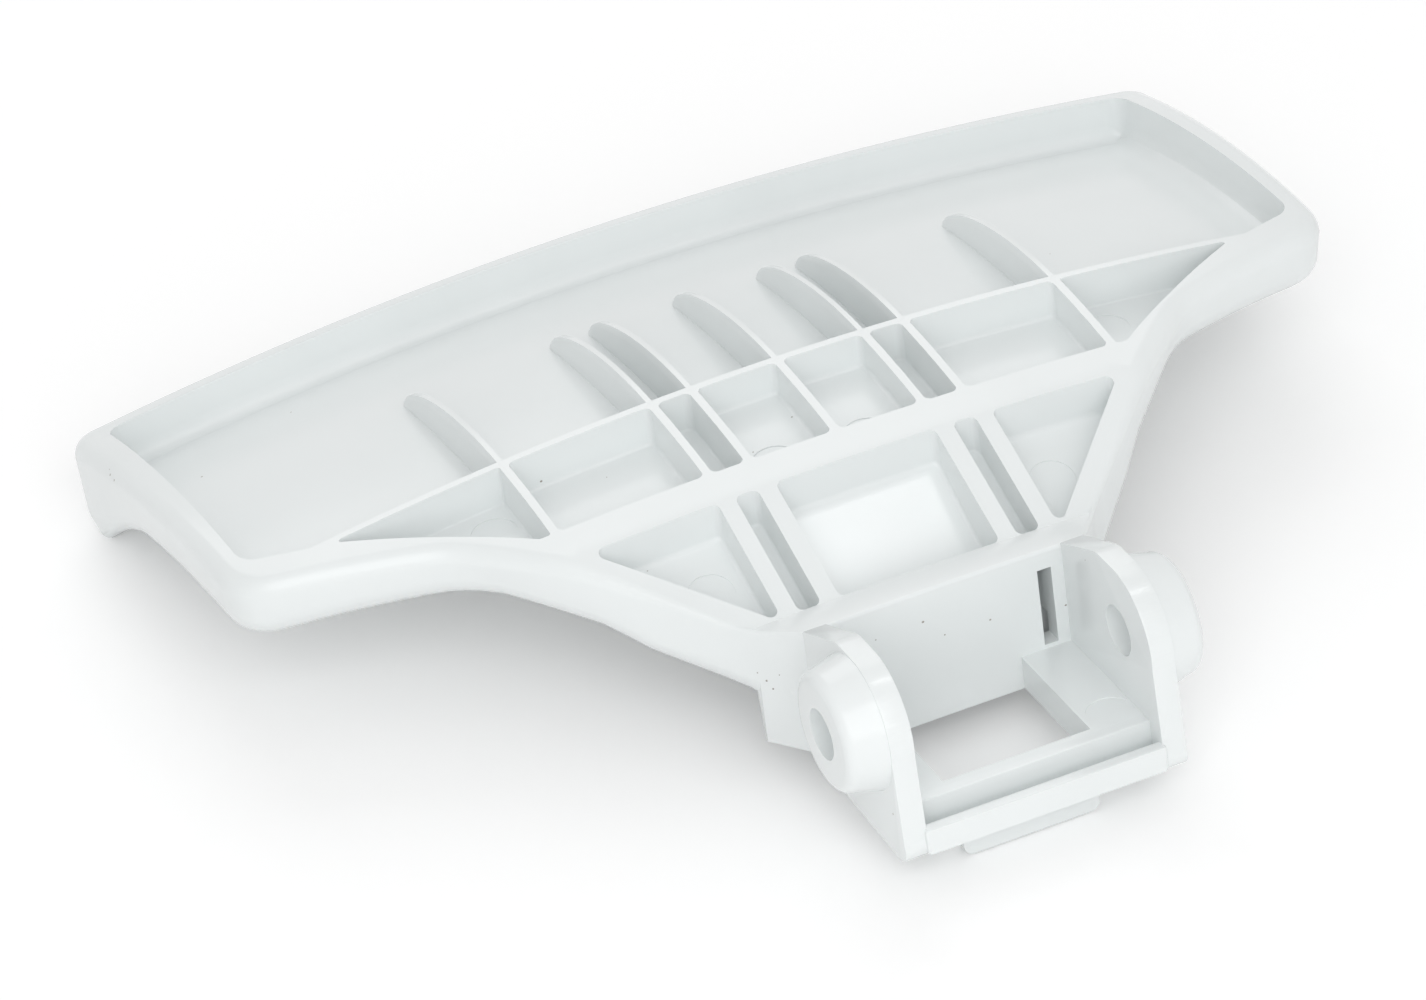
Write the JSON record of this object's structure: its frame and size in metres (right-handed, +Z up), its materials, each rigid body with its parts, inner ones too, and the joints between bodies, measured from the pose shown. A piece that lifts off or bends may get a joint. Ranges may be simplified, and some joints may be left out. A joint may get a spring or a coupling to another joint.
{
  "type": "washing machine door handle",
  "caption": "White moulded plastic pull handle for a washing machine door: ribbed wide grip, narrow neck and a hinge fork with pin bosses, a latch tooth and a spring slot.",
  "frame": {"origin": "on the resting plane under the middle of the handle's bounding box", "axes": "+X along the grip's width, +Y from the hinge towards the grip's far edge, +Z up out of the ribbed back, with the handle lying on its grip lip and its latch tooth"},
  "size_m": [0.1404, 0.1174, 0.0254],
  "materials": {
    "white_plastic": "satin"
  },
  "bodies": {
    "root": {"door_handle": "white_plastic"}
  },
  "joints": []
}
